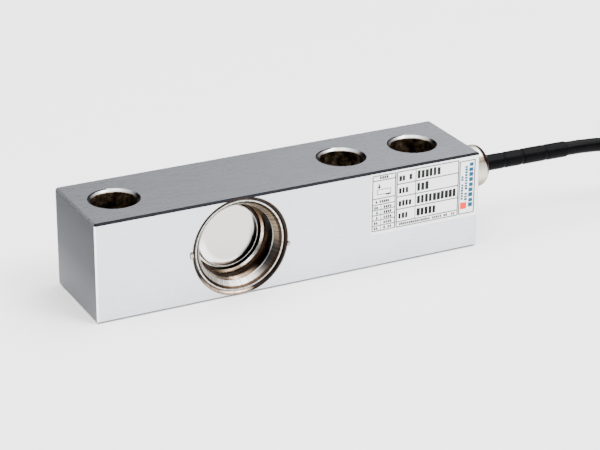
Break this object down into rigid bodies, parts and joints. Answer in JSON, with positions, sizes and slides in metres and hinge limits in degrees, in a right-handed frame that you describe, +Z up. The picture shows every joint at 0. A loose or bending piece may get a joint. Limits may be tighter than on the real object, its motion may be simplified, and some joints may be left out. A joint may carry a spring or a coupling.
{
  "type": "shear beam load cell",
  "caption": "Single-ended shear beam load cell: square steel bar with upright bolt holes, round sealed gauge pockets in its sides, a cable gland on its end and a coiled lead.",
  "frame": {"origin": "middle between the mounting holes, on the beam's underside", "axes": "+X along the beam towards the cable end, +Z up, -Y out of the face that carries the label"},
  "size_m": [0.2938, 0.0646, 0.0318],
  "materials": {
    "nickel_plated_steel": "satin nickel plate over milled steel",
    "drawn_stainless": "thin drawn stainless sheet, fairly bright",
    "heat_tinted_weld": "dark straw and brown heat tint",
    "gauge_film": "amber polyimide film",
    "gauge_foil": "etched constantan foil",
    "glass_epoxy": "green glass epoxy with tinned pads",
    "copper_wire": "enamelled copper",
    "chip_resistor": "black ceramic chip",
    "core_red": "smooth insulation",
    "core_white": "smooth insulation",
    "core_green": "smooth insulation",
    "core_blue": "smooth insulation",
    "core_black": "smooth insulation",
    "nickel_plated_brass": "turned, satin nickel plate",
    "black_rubber": "matt",
    "washer_steel": "zinc plate",
    "crimp_brass": "plain",
    "shrink_sleeve": "matt shrink sleeve",
    "cable_jacket": "satin black jacket",
    "nylon_tie": "satin nylon",
    "tinned_copper": "tinned strands",
    "label_film": "white printed polyester film"
  },
  "bodies": {
    "root": {"beam": "nickel_plated_steel", "front_sealing_cup": "drawn_stainless", "front_weld_bead": "heat_tinted_weld", "front_gauge_backing": "gauge_film", "front_gauge_foil": "gauge_foil", "front_terminal_strip": "glass_epoxy", "front_jumper_wires": "copper_wire", "rear_sealing_cup": "drawn_stainless", "rear_weld_bead": "heat_tinted_weld", "rear_gauge_backing": "gauge_film", "rear_gauge_foil": "gauge_foil", "rear_terminal_strip": "glass_epoxy", "rear_jumper_wires": "copper_wire", "compensation_board": "glass_epoxy", "trim_resistors": "chip_resistor", "inner_core_red": "core_red", "inner_core_white": "core_white", "inner_core_green": "core_green", "inner_core_blue": "core_blue", "web_wires": "core_white", "gland_body": "nickel_plated_brass", "gland_o_ring": "black_rubber", "cable_seal": "black_rubber", "clamp_washer": "washer_steel", "shield_ferrule": "crimp_brass", "cable_sleeve": "shrink_sleeve", "cable": "cable_jacket", "cable_coil": "cable_jacket", "coil_ties": "nylon_tie", "end_band": "shrink_sleeve", "end_core_red": "core_red", "end_core_white": "core_white", "end_core_green": "core_green", "end_core_blue": "core_blue", "end_core_black": "core_black", "end_tips": "tinned_copper", "label": "label_film"}
  },
  "joints": []
}
